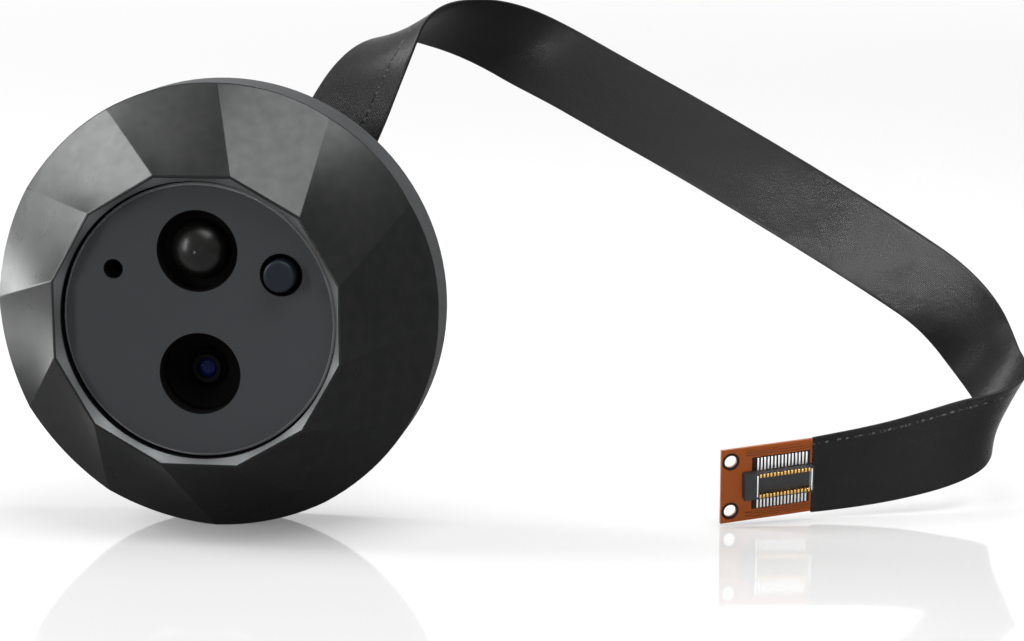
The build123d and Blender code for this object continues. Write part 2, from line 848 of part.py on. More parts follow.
def width_at(distance):
    """Direction of the ribbon's width at this distance along its path."""
    for near, far, first, second in zip(
        corner_distances, corner_distances[1:], route_widths, route_widths[1:]
    ):
        if distance <= far:
            share = (distance - near) / (far - near)
            return first.normalized() * (1 - share) + second.normalized() * share
    return route_widths[-1]


def section_plane(distance):
    """Plane across the ribbon at this distance, with its width along the plane's X."""
    along = path_wire.tangent_at(distance, position_mode=PositionMode.LENGTH)
    across = width_at(distance)
    across = across - along * across.dot(along)
    origin = path_wire.position_at(distance, position_mode=PositionMode.LENGTH)
    return Plane(origin=origin, x_dir=across, z_dir=along)


def ribbon_face(step):
    """The ribbon's flat section at this step of its length."""
    with BuildSketch(section_plane(travelled * step / (ribbon_spans * span_sections))) as section:
        Rectangle(ribbon_width, ribbon_thickness)
    return section.sketch.faces()[0]


with BuildPart() as ribbon:
    for span in range(ribbon_spans):
        first_step = span * span_sections
        steps = range(first_step, first_step + span_sections + 1)
        loft([ribbon_face(step) for step in steps], ruled=True)
volume_share = ribbon.part.volume / (travelled * ribbon_width * ribbon_thickness)
print("ribbon length", round(travelled, 1), "volume share", round(volume_share, 3))
ribbon.part.label = "ribbon"
export_step(ribbon.part, "parts/ribbon.step")


# Plug end: the bare flex tongue on its stiffener, and the board plug on the tongue.
end_plane = section_plane(travelled)
plug_plane = Plane(
    origin=end_plane.origin,
    x_dir=end_plane.z_dir,
    z_dir=end_plane.x_dir.cross(end_plane.z_dir),
).offset(tongue_thickness / 2)
contact_span = contact_pitch * (contact_count - 1)
plug_length = plug_near_end + contact_margin + contact_span + contact_margin + plug_far_end
tongue_length = plug_start + plug_length + tongue_tail
hole_distance = tongue_length - tongue_hole_inset
tongue_holes = [(hole_distance, side * tongue_hole_spacing / 2) for side in (-1, 1)]


def tongue_slab(depth, thickness):
    """One layer of the tongue, with its two locating holes."""
    with BuildSketch(plug_plane.offset(depth)) as outline:
        with Locations((tongue_length / 2, 0)):
            Rectangle(tongue_length, tongue_width)
        with Locations(tongue_holes):
            Circle(tongue_hole_radius, mode=Mode.SUBTRACT)
    extrude(outline.sketch, amount=thickness)


with BuildPart() as plug_tongue:
    tongue_slab(-tongue_thickness, tongue_thickness)
plug_tongue.part.label = "plug_tongue"
export_step(plug_tongue.part, "parts/plug_tongue.step")

with BuildPart() as plug_stiffener:
    tongue_slab(-tongue_thickness - stiffener_thickness, stiffener_thickness)
plug_stiffener.part.label = "plug_stiffener"
export_step(plug_stiffener.part, "parts/plug_stiffener.step")

well_start = plug_start + plug_near_end
well_length = plug_length - plug_near_end - plug_far_end
contact_start = well_start + contact_margin
contact_places = [contact_start + contact_pitch * contact for contact in range(contact_count)]
wall_inside = plug_width / 2 - plug_wall
leg_inside = wall_inside - contact_thickness
notch_inside = leg_inside - contact_slip
with BuildPart(plug_plane) as plug_housing:
    with Locations((plug_start + plug_length / 2, 0, 0)):
        Box(plug_length, plug_width, plug_height, align=base)
    with Locations((well_start + well_length / 2, 0, plug_floor)):
        Box(well_length, 2 * wall_inside, plug_height, align=base, mode=Mode.SUBTRACT)
    for side in (-1, 1):
        for place in contact_places:
            with Locations((place, side * (notch_inside + plug_width / 2) / 2, 0)):
                Box(
                    contact_width + 2 * contact_slip, plug_width / 2 - notch_inside,
                    plug_floor, align=base, mode=Mode.SUBTRACT,
                )
plug_housing.part.label = "plug_housing"
export_step(plug_housing.part, "parts/plug_housing.step")

with BuildPart(plug_plane) as plug_contacts:
    foot_end = plug_width / 2 + contact_reach
    for side in (-1, 1):
        for place in contact_places:
            with Locations((place, side * (leg_inside + foot_end) / 2, 0)):
                Box(contact_width, foot_end - leg_inside, contact_thickness, align=base)
            with Locations((place, side * (leg_inside + contact_thickness / 2), 0)):
                Box(contact_width, contact_thickness, plug_height, align=base)
plug_contacts.part.label = "plug_contacts"
export_step(plug_contacts.part, "parts/plug_contacts.step")
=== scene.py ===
from math import cos, pi, radians, sin, sqrt

import bmesh
import bpy
from mathutils import Matrix, Vector, noise


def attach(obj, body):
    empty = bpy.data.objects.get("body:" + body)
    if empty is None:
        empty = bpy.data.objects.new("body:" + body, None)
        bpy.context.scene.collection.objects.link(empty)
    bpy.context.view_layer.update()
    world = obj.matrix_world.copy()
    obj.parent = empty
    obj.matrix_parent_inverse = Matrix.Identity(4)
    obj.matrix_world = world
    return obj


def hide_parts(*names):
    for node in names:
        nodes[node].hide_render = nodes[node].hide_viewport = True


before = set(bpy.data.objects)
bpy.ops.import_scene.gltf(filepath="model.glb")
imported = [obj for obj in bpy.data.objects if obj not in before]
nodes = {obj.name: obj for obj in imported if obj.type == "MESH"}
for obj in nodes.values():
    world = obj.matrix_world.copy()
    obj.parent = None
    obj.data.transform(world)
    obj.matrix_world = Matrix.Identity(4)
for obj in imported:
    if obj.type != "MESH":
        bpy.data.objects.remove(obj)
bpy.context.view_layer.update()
mm = 0.001
noiseSpan = {"From Min": 0.3, "From Max": 0.7}      # most of a noise's values lie between these


# small helpers, used by every piece
def toLinear(hexColour):
    # sRGB hex as a paint chart gives it, to the linear values a shader wants
    parts = [int(hexColour[i:i + 2], 16) / 255 for i in (1, 3, 5)]
    return (*[p / 12.92 if p <= 0.04045 else ((p + 0.055) / 1.055) ** 2.4 for p in parts], 1.0)


def addNode(material, kind, settings=None, links=None):
    node = material.node_tree.nodes.new(kind)
    for name, value in (settings or {}).items():
        if isinstance(name, int) or name in node.inputs:
            node.inputs[name].default_value = value
        else:
            setattr(node, name, value)
    for name, source in (links or {}).items():
        material.node_tree.links.new(source, node.inputs[name])
    return node


def newMaterial(name, **surface):
    # a Principled surface with its plain values, ready for nodes in front of it
    material = bpy.data.materials.new(name)
    material.use_nodes = True
    shader = material.node_tree.nodes["Principled BSDF"]
    for socket, value in surface.items():
        shader.inputs[socket.replace("_", " ")].default_value = value
    return material, shader


def connect(material, source, target):
    material.node_tree.links.new(source, target)


def dressNode(nodeName, material):
    # a CAD node that keeps its own form gets this material all over
    nodes[nodeName].data.materials.clear()
    nodes[nodeName].data.materials.append(material)


def newPiece(name, mesh, *materials, replaced=()):
    piece = bpy.data.objects.new(name, mesh)
    bpy.context.scene.collection.objects.link(piece)
    for material in materials:
        piece.data.materials.append(material)
    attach(piece, "unit")
    if replaced:
        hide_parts(*replaced)
    return piece


def meshFrom(bm, name):
    mesh = bpy.data.meshes.new(name)
    bm.to_mesh(mesh)
    bm.free()
    return mesh


def closedMesh(bm, name):
    # doubles merged, faces outwards and shaded smooth
    bmesh.ops.remove_doubles(bm, verts=bm.verts, dist=1e-7)
    bmesh.ops.recalc_face_normals(bm, faces=bm.faces)
    for face in bm.faces:
        face.smooth = True
    return meshFrom(bm, name)


# camera, at the photograph's angle; its place and its clipping in mm
cameraSetup = {
    "place": (79.25, -315.04, 58.42),
    "aim": (-0.12538655, 0.9741565, -0.18787585),
    "lens": 84.375,
    "sensorWidth": 36.0,
    "clipStart": 5.0,
}


def makeCamera():
    camera = bpy.data.cameras.new("photoCamera")
    camera.lens = cameraSetup["lens"]
    camera.sensor_width = cameraSetup["sensorWidth"]
    camera.clip_start = cameraSetup["clipStart"] * mm
    holder = bpy.data.objects.new("photoCamera", camera)
    bpy.context.scene.collection.objects.link(holder)
    holder.location = Vector(cameraSetup["place"]) * mm
    holder.rotation_euler = Vector(cameraSetup["aim"]).to_track_quat("-Z", "Y").to_euler()
    bpy.context.scene.camera = holder


makeCamera()
print("camera set")


# the ribbon is a flat cord, taped in black cloth; sizes in mm
ribbonSizes = {
    "width": 11.2,
    "thickness": 0.36,
    "edgeRound": 0.08,
    "stepsPerRun": 24,
    "stepsAcross": 22,
    "creaseDepth": 0.1,
    "creaseSize": 7.0,
    "flatStart": 10.0,       # the creases fade out over this length towards the spigot
    "flatEnd": 6.0,          # and over this one towards the plug
}
# the tape's lapped long edge, and the cloth itself; sizes in mm
tapeSetup = {
    "colour": "#0e0e0f",
    "threadsPerMm": 2.2,     # real cloth has about 4, drawn coarser so that it shows
    "threadHeight": 0.06,
    "patchesPerMm": 0.42,    # patches where the coat is thicker, about 2.4 mm wide
    "rippleHeight": 0.4,
    "glossiest": 0.28,
    "dullest": 0.34,
    "seamInset": 3.4,        # from the ribbon's own edge, at the ribbon's start
    "seamDrift": 0.0128,     # how much nearer to that edge it comes for each mm along
    "seamStep": 0.06,        # how far the lapped tape stands up
    "seamSlope": 0.3,        # over what width it comes down again
    "seamHalf": 0.13,        # half the width of the dark line
    "seamWander": 0.4,       # how far the line strays, in waves about 1.1 mm long
    "wandersPerMm": 0.9,
    "looseEndsPerMm": 1.5,   # the cut threads' ends, drawn two or three together so that they show
    "seamColour": "#040404",
    "looseColour": "#383838",
}
# route points and the direction of the width at each, in mm
ribbonRoute = [
    ((0.0, 6.0, 0.0), (1.0, 0.0, 0.0)),
    ((0.0, 11.5, 0.0), (0.97, 0.0, -0.2)),
    ((2.5, 16.0, 5.0), (0.86, 0.05, -0.5)),
    ((8.5, 12.5, 13.5), (0.84, 0.16, -0.5)),
    ((12.5, 12.5, 21.0), (0.9, 0.0, -0.43)),
    ((17.0, 17.0, 31.0), (0.87, -0.45, -0.15)),
    ((21.5, 23.0, 36.5), (0.6, -0.68, 0.4)),
    ((30.5, 30.5, 34.8), (0.42, -0.43, 0.8)),
    ((40.5, 32.0, 30.0), (0.44, 0.22, 0.87)),
    ((50.0, 30.0, 25.0), (0.52, 0.23, 0.82)),
    ((61.5, 28.5, 19.0), (0.52, 0.23, 0.82)),
    ((75.5, 27.5, 11.0), (0.52, 0.2, 0.83)),
    ((88.5, 27.0, 3.2), (0.53, 0.1, 0.84)),
    ((98.8, 27.0, -3.6), (0.68, 0.04, 0.72)),
    ((104.3, 26.5, -12.5), (0.7, -0.52, 0.48)),
    ((106.8, 21.5, -15.8), (0.42, -0.72, 0.55)),
    ((105.0, 15.5, -18.0), (0.1, -0.4, 0.91)),
    ((98.0, 12.0, -20.8), (-0.22, 0.05, 0.97)),
    ((87.5, 8.0, -23.0), (-0.05, -0.05, 1.0)),
    ((79.2, 4.5, -23.6), (0.02, -0.18, 0.98)),
]


def splinePoints(points):
    # a NURBS line through the air, with these points as its control points, read back as points
    curve = bpy.data.curves.new("route", "CURVE")
    curve.dimensions = "3D"
    spline = curve.splines.new("NURBS")
    spline.points.add(len(points) - 1)
    for slot, point in zip(spline.points, points):
        slot.co = (*point, 1.0)
    spline.order_u = 3
    spline.use_endpoint_u = True
    spline.resolution_u = ribbonSizes["stepsPerRun"]
    holder = bpy.data.objects.new("route", curve)
    bpy.context.scene.collection.objects.link(holder)
    bpy.context.view_layer.update()
    read = bpy.data.meshes.new_from_object(holder)
    found = [vertex.co.copy() for vertex in read.vertices]
    bpy.data.objects.remove(holder)
    bpy.data.meshes.remove(read)
    return found


def clothTape():
    # cotton cloth tape with a matt rubbery coat: near black face on, grey where it is seen slanting
    t = tapeSetup
    material, shader = newMaterial(
        "blackClothTape", Base_Color=toLinear(t["colour"]), Specular_IOR_Level=0.1
    )
    place = addNode(material, "ShaderNodeUVMap", {"uv_map": "tapeMap"})
    weave = addNode(
        material, "ShaderNodeTexBrick",
        {
            "offset": 0.5, "Scale": t["threadsPerMm"] * 1000, "Mortar Size": 0.12,
            "Mortar Smooth": 0.8, "Brick Width": 1.0, "Row Height": 0.5,
            "Color1": (1, 1, 1, 1), "Color2": (0.8, 0.8, 0.8, 1), "Mortar": (0, 0, 0, 1),
        },
        {"Vector": place.outputs["UV"]},
    )
    patches = addNode(
        material, "ShaderNodeTexNoise",
        {"Scale": t["patchesPerMm"] * 1000, "Detail": 6.0, "Roughness": 0.6},
        {"Vector": place.outputs["UV"]},
    )
    gloss = addNode(
        material, "ShaderNodeMapRange", {**noiseSpan, "To Min": t["glossiest"], "To Max": t["dullest"]},
        {"Value": patches.outputs["Fac"]},
    )
    threads = addNode(
        material, "ShaderNodeBump", {"Strength": 0.5, "Distance": t["threadHeight"] * mm},
        {"Height": weave.outputs["Fac"]},
    )
    ripple = addNode(
        material, "ShaderNodeBump", {"Strength": 0.35, "Distance": t["rippleHeight"] * mm},
        {"Height": patches.outputs["Fac"], "Normal": threads.outputs["Normal"]},
    )
    connect(material, gloss.outputs["Result"], shader.inputs["Roughness"])
    connect(material, ripple.outputs["Normal"], shader.inputs["Normal"])
    return material, shader, place, ripple


def plainClothTape():
    return clothTape()[0]


def seamedClothTape():
    # the same tape on the lapped side: its cut long edge shows as a dark line with pale loose threads
    t = tapeSetup
    material, shader, place, ripple = clothTape()
    material.name = "blackClothTapeSeamed"
    seamLine = (ribbonSizes["width"] / 2 - t["seamInset"]) * mm
    split = addNode(material, "ShaderNodeSeparateXYZ", links={"Vector": place.outputs["UV"]})
    wander = addNode(
        material, "ShaderNodeTexNoise", {"Scale": t["wandersPerMm"] * 1000, "Detail": 2.0},
        {"Vector": place.outputs["UV"]},
    )
    shifted = addNode(
        material, "ShaderNodeMath", {"operation": "MULTIPLY_ADD", 1: t["seamWander"] * mm},
        {0: wander.outputs["Fac"], 2: split.outputs["Y"]},
    )
    drifted = addNode(
        material, "ShaderNodeMath", {"operation": "MULTIPLY_ADD", 1: -t["seamDrift"]},
        {0: split.outputs["X"], 2: shifted.outputs["Value"]},
    )
    # the wander lifts the line by half of itself on average
    line = addNode(
        material, "ShaderNodeMath",
        {"operation": "COMPARE", 1: seamLine + t["seamWander"] / 2 * mm, 2: t["seamHalf"] * mm},
        {0: drifted.outputs["Value"]},
    )
    looseEnds = addNode(
        material, "ShaderNodeTexNoise",
        {"noise_dimensions": "1D", "Scale": t["looseEndsPerMm"] * 1000, "Detail": 1.0},
        {"W": split.outputs["X"]},
    )
    pale = addNode(
        material, "ShaderNodeMapRange", {"From Min": 0.5, "From Max": 0.6},
        {"Value": looseEnds.outputs["Fac"]},
    )
    lineColour = addNode(
        material, "ShaderNodeMix",
        {"data_type": "RGBA", 6: toLinear(t["seamColour"]), 7: toLinear(t["looseColour"])},
        {"Factor": pale.outputs["Result"]},
    )
    colour = addNode(
        material, "ShaderNodeMix", {"data_type": "RGBA", 6: toLinear(t["colour"])},
        {"Factor": line.outputs["Value"], 7: lineColour.outputs[2]},
    )
    lapped = addNode(
        material, "ShaderNodeMapRange",
        {"From Min": seamLine + t["seamSlope"] * mm, "From Max": seamLine},
        {"Value": drifted.outputs["Value"]},
    )
    step = addNode(
        material, "ShaderNodeBump", {"Strength": 1.0, "Distance": t["seamStep"] * mm},
        {"Height": lapped.outputs["Result"], "Normal": ripple.outputs["Normal"]},
    )
    connect(material, colour.outputs[2], shader.inputs["Base Color"])
    connect(material, step.outputs["Normal"], shader.inputs["Normal"])
    return material


def makeRibbon():
    s = ribbonSizes
    halfWidth = s["width"] / 2
    middle = splinePoints([Vector(point) * mm for point, across in ribbonRoute])
    edge = splinePoints(
        [(Vector(point) + Vector(across).normalized() * halfWidth) * mm for point, across in ribbonRoute]
    )
    count = len(middle)
    travelled = [0.0]
    for before, after in zip(middle, middle[1:]):
        travelled.append(travelled[-1] + (after - before).length)
    # at each point of the line: its place, the way across the ribbon, and the way out of its face
    stations = []
    for index in range(count):
        along = (middle[min(index + 1, count - 1)] - middle[max(index - 1, 0)]).normalized()
        across = edge[index] - middle[index]
        across = (across - along * across.dot(along)).normalized()
        stations.append((middle[index], across, across.cross(along)))
    bm = bmesh.new()
    bmesh.ops.create_grid(
        bm, x_segments=count - 1, y_segments=s["stepsAcross"], size=0.5, calc_uvs=False
    )
    uvLayer = bm.loops.layers.uv.new("tapeMap")
    places = {}
    for vertex in bm.verts:
        index = round((vertex.co.x + 0.5) * (count - 1))
        sideways = vertex.co.y * 2 * halfWidth * mm
        centre, across, outward = stations[index]
        fromStart = travelled[index] / (s["flatStart"] * mm)
        fromEnd = (travelled[-1] - travelled[index]) / (s["flatEnd"] * mm)
        crease = noise.noise(Vector((travelled[index], sideways, 0)) / (s["creaseSize"] * mm))
        height = crease * s["creaseDepth"] * mm * min(1.0, fromStart, fromEnd)
        places[vertex] = (travelled[index], sideways)
        vertex.co = centre + across * sideways + outward * height
    for face in bm.faces:
        face.smooth = True
        for loop in face.loops:
            loop[uvLayer].uv = places[loop.vert]
    ribbon = newPiece(
        "ribbonTape", meshFrom(bm, "ribbonTape"), plainClothTape(), seamedClothTape(), replaced=("ribbon",)
    )
    thickness = ribbon.modifiers.new("tapeThickness", "SOLIDIFY")
    thickness.thickness = s["thickness"] * mm
    thickness.offset = 0.0
    thickness.material_offset = 1
    thickness.use_quality_normals = True
    rounding = ribbon.modifiers.new("edgeRounding", "BEVEL")
    rounding.width = s["edgeRound"] * mm
    rounding.segments = 2
    rounding.limit_method = "ANGLE"
    rounding.angle_limit = radians(60)
    print("ribbon", round(travelled[-1] / mm, 1), "mm long,", count, "points")
    return ribbon, middle, travelled[-1]


ribbon, ribbonPath, ribbonLength = makeRibbon()


def grainyFinish(name, colour, roughness, grainMm, strength, metallic=0.0, spread=0.05, **surface):
    # one recipe for moulded, cast and turned surfaces: a fine bump and a slow change of gloss
    cloudsPerMm = 0.3         # handling marks, about 3 mm wide
    grainHeight = 0.05
    material, shader = newMaterial(name, Base_Color=toLinear(colour), Metallic=metallic, **surface)
    place = addNode(material, "ShaderNodeTexCoord")
    grain = addNode(
        material, "ShaderNodeTexNoise", {"Scale": 1000 / grainMm, "Detail": 4.0},
        {"Vector": place.outputs["Object"]},
    )
    cloud = addNode(
        material, "ShaderNodeTexNoise", {"Scale": cloudsPerMm * 1000, "Detail": 3.0},
        {"Vector": place.outputs["Object"]},
    )
    gloss = addNode(
        material, "ShaderNodeMapRange",
        {**noiseSpan, "To Min": roughness - spread, "To Max": roughness + spread},
        {"Value": cloud.outputs["Fac"]},
    )
    bump = addNode(
        material, "ShaderNodeBump", {"Strength": strength, "Distance": grainHeight * mm},
        {"Height": grain.outputs["Fac"]},
    )
    connect(material, gloss.outputs["Result"], shader.inputs["Roughness"])
    connect(material, bump.outputs["Normal"], shader.inputs["Normal"])
    return material


# the bezel has twelve leaning facets on a straight rim; sizes in mm
bezelSizes = {
    "rimRadius": 30.0, "rimBack": 0.6, "rimFront": 7.6,
    "cornerSwell": 0.5,      # the facets' feet bow out to their corners, and the rim cuts them off
    "crestFront": 19.0, "crestRadius": 19.7, "crestLand": 0.3,
    "wellRadius": 18.24, "wellFront": 17.95, "neckBack": 15.3, "neckRadius": 19.6,
    "boreRadius": 28.0, "boreFront": 6.6,
    "facets": 12, "lean": 14.0,
    "columnsPerFacet": 10, "stepsUp": 8, "edgeRound": 0.2, "ridgeRound": 0.12,
}
lacquerSetup = {
    "deepColour": "#1f2020",
    "paleColour": "#282828",
    "glossiest": 0.25,
    "dullest": 0.33,
    "cloudsPerMm": 0.26,     # patches where the lacquer lies thicker, about 4 mm wide
    "peelMm": 1.6,           # width of a wave in the lacquer's orange peel
    "peelHeight": 0.05,
}


def satinLacquer():
    # die-cast alloy under satin graphite lacquer: soft broad highlights, and dark at a slant
    s = lacquerSetup
    material, shader = newMaterial(
        "graphiteLacquerOnDieCastAlloy", Metallic=0.9, Specular_IOR_Level=0.15,
        Specular_Tint=(0.55, 0.55, 0.55, 1.0),
    )
    place = addNode(material, "ShaderNodeTexCoord")
    peel = addNode(
        material, "ShaderNodeTexNoise", {"Scale": 1000 / s["peelMm"], "Detail": 1.0},
        {"Vector": place.outputs["Object"]},
    )
    cloud = addNode(
        material, "ShaderNodeTexNoise", {"Scale": s["cloudsPerMm"] * 1000, "Detail": 4.0},
        {"Vector": place.outputs["Object"]},
    )
    gloss = addNode(
        material, "ShaderNodeMapRange",
        {"From Min": 0.1, "From Max": 0.9, "To Min": s["glossiest"], "To Max": s["dullest"]},
        {"Value": cloud.outputs["Fac"]},
    )
    colour = addNode(
        material, "ShaderNodeMix",
        {"data_type": "RGBA", 6: toLinear(s["deepColour"]), 7: toLinear(s["paleColour"])},
        {"Factor": peel.outputs["Fac"]},
    )
    bump = addNode(
        material, "ShaderNodeBump", {"Strength": 0.03, "Distance": s["peelHeight"] * mm},
        {"Height": peel.outputs["Fac"]},
    )
    connect(material, colour.outputs[2], shader.inputs["Base Color"])
    connect(material, gloss.outputs["Result"], shader.inputs["Roughness"])
    connect(material, bump.outputs["Normal"], shader.inputs["Normal"])
    return material


def blastedRim():
    # the rim's straight wall, blasted before it was lacquered: an even dull grey
    return grainyFinish("blastedRimLacquer", "#343536", 0.75, 0.15, 0.3, 0.2, Specular_IOR_Level=0.1)


def turnedChamfer():
    # the alloy of the inner chamfer, turned bright and clear coated: a paler ring round the plate
    marksPerMm = 0.18        # along the cut; across it they lie forty times closer
    material, shader = newMaterial(
        "turnedAlloyChamfer", Base_Color=toLinear("#5c5e5f"), Metallic=0.9
    )
    place = addNode(material, "ShaderNodeTexCoord")
    squeezed = addNode(
        material, "ShaderNodeMapping", {"Scale": (1.0, 40.0, 1.0)}, {"Vector": place.outputs["Object"]}
    )
    marks = addNode(
        material, "ShaderNodeTexNoise", {"Scale": marksPerMm * 1000, "Detail": 3.0},
        {"Vector": squeezed.outputs["Vector"]},
    )
    gloss = addNode(
        material, "ShaderNodeMapRange", {**noiseSpan, "To Min": 0.54, "To Max": 0.66},
        {"Value": marks.outputs["Fac"]},
    )
    connect(material, gloss.outputs["Result"], shader.inputs["Roughness"])
    return material


def ringPoint(radius, depth, turn):
    return Vector((radius * cos(turn), -depth, radius * sin(turn))) * mm


def shareToRim(foot, top, radius):
    # how far up a facet's straight line comes inside the rim's straight wall
    start = Vector((foot.x, foot.z))
    run = Vector((top.x, top.z)) - start
    half = start.dot(run)
    under = max(half ** 2 - run.dot(run) * (start.dot(start) - radius ** 2), 0)
    return (-half - sqrt(under)) / run.dot(run)


def growRing(bm, verts, spots, finish=0):
    # the next ring of a wall, extruded from the last one and set to its places
    edges = [bm.edges.get(pair) for pair in zip(verts, verts[1:] + verts[:1])]
    grown = bmesh.ops.extrude_edge_only(bm, edges=edges)
    fresh = {v for v in grown["geom"] if isinstance(v, bmesh.types.BMVert)}
    nextRing = []
    for vertex in verts:
        follower = next(e.other_vert(vertex) for e in vertex.link_edges if e.other_vert(vertex) in fresh)
        nextRing.append(follower)
    for follower, spot in zip(nextRing, spots):
        follower.co = spot
        for face in follower.link_faces:
            face.material_index = finish
    return nextRing


def makeBezel():
    s = bezelSizes
    facetTurn = 2 * pi / s["facets"]
    count = s["facets"] * s["columnsPerFacet"]
    lean = radians(s["lean"])
    bm = bmesh.new()
    ring = bmesh.ops.create_circle(bm, cap_ends=False, segments=count, radius=1.0)["verts"]
    inFacet = [facetTurn * (index % s["columnsPerFacet"]) / s["columnsPerFacet"] for index in range(count)]
    turns = [facetTurn / 2 + facetTurn * index / s["columnsPerFacet"] for index in range(count)]
    offMiddle = [turn - facetTurn / 2 for turn in inFacet]

    def polygonRing(corner, depth):
        radii = [corner * cos(facetTurn / 2) / cos(off) for off in offMiddle]
        return [ringPoint(radius, depth, turn) for radius, turn in zip(radii, turns)]

    def roundRing(radius, depth):
        return [ringPoint(radius, depth, turn + lean) for turn in turns]

    bowed = [s["rimRadius"] + s["cornerSwell"] * (2 * off / facetTurn) ** 2 for off in offMiddle]
    feet = [ringPoint(radius, s["rimFront"], turn + lean) for radius, turn in zip(bowed, turns)]
    crest = polygonRing(s["crestRadius"], s["crestFront"])
    outer = [a.lerp(b, shareToRim(a, b, s["rimRadius"] * mm)) for a, b in zip(feet, crest)]
    for vertex, spot in zip(ring, roundRing(s["boreRadius"], s["rimBack"])):
        vertex.co = spot
    # from the back outwards: the rim's foot and wall, the facets, the crest, the well and the bore
    ring = growRing(bm, ring, roundRing(s["rimRadius"], s["rimBack"]))
    softEdges = list(zip(ring, ring[1:] + ring[:1]))
    ring = growRing(bm, ring, outer, finish=2)
    softEdges += list(zip(ring, ring[1:] + ring[:1]))
    ridges = []
    for step in range(1, s["stepsUp"] + 1):
        raised = growRing(bm, ring, [a.lerp(b, step / s["stepsUp"]) for a, b in zip(outer, crest)])
        ridges += [(ring[k], raised[k]) for k in range(0, count, s["columnsPerFacet"])]
        ring = raised
    softEdges += list(zip(ring, ring[1:] + ring[:1]))
    ring = growRing(bm, ring, polygonRing(s["crestRadius"] - s["crestLand"], s["crestFront"]))
    wellEdge = [ringPoint(s["wellRadius"], s["wellFront"], turn) for turn in turns]
    ring = growRing(bm, ring, wellEdge, finish=1)
    softEdges += list(zip(ring, ring[1:] + ring[:1]))
    ring = growRing(bm, ring, [ringPoint(s["wellRadius"], s["neckBack"], turn) for turn in turns])
    ring = growRing(bm, ring, roundRing(s["neckRadius"], s["neckBack"]))
    ring = growRing(bm, ring, roundRing(s["boreRadius"], s["boreFront"]))
    growRing(bm, ring, roundRing(s["boreRadius"], s["rimBack"]))
    bevelLayer = bm.edges.layers.float.new("bevel_weight_edge")
    for pair in softEdges:
        bm.edges.get(pair)[bevelLayer] = 1.0
    for pair in ridges:
        bm.edges.get(pair)[bevelLayer] = s["ridgeRound"] / s["edgeRound"]
    bezel = newPiece(
        "bezelShell", closedMesh(bm, "bezelShell"), satinLacquer(), turnedChamfer(), blastedRim(),
        replaced=("bezel",),
    )
    rounding = bezel.modifiers.new("ridgeRounding", "BEVEL")
    rounding.limit_method = "WEIGHT"
    rounding.width = s["edgeRound"] * mm
    rounding.segments = 3
    shading = bezel.modifiers.new("flatFacets", "WEIGHTED_NORMAL")
    shading.weight = 80


makeBezel()
print("bezel made")


